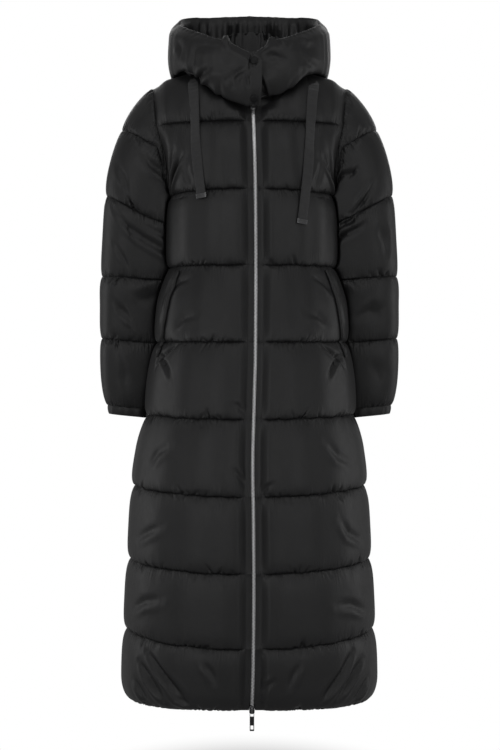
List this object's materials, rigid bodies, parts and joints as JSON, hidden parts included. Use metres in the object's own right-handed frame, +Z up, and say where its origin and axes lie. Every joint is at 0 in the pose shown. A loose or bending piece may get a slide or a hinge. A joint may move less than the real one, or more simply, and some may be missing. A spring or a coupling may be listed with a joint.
{
  "type": "long puffer coat",
  "caption": "Long hooded puffer coat, zipped up and filled out as if worn, hollow with quilted padded walls and an open neck, hem and cuffs.",
  "frame": {"origin": "on the body's axis at the height of the neck points, where the wearer's shoulders carry the coat", "axes": "+Z up, -Y out of the coat's front, +X towards the wearer's left"},
  "size_m": [0.6068, 0.4003, 1.4069],
  "materials": {
    "shell": "black down-proof nylon with a soft sheen",
    "snap_cap": "the same nylon drawn over a snap's cap",
    "zip_tape": "matt black woven tape",
    "zip_teeth": "bright metal teeth",
    "slider": "dark polished metal",
    "drawcord": "matt black woven tape with a fine rib",
    "cord_end": "bright crimped metal"
  },
  "bodies": {
    "coat": {"front_left": "shell", "front_right": "shell", "back": "shell", "sleeve_left": "shell", "sleeve_right": "shell", "cuff_left": "shell", "cuff_right": "shell", "hood_left": "shell", "hood_right": "shell", "hood_centre": "shell", "pocket_left": "shell", "pocket_right": "shell", "snap_upper": "snap_cap", "snap_lower": "snap_cap", "zip_tape_left": "zip_tape", "zip_tape_right": "zip_tape", "zip_chain": "zip_teeth", "slider_upper": "slider", "slider_lower": "slider", "drawcord_left": "drawcord", "drawcord_right": "drawcord", "drawcord_end_left": "cord_end", "drawcord_end_right": "cord_end"},
    "tab": {"pull_tab": "slider"}
  },
  "joints": [
    {"name": "pull_tab_hinge", "type": "hinge", "parent": "coat", "child": "tab", "pos_m": [0.005, -0.1941, -1.215], "axis": [-1, 0, 0], "range_deg": [-5, 120]}
  ]
}
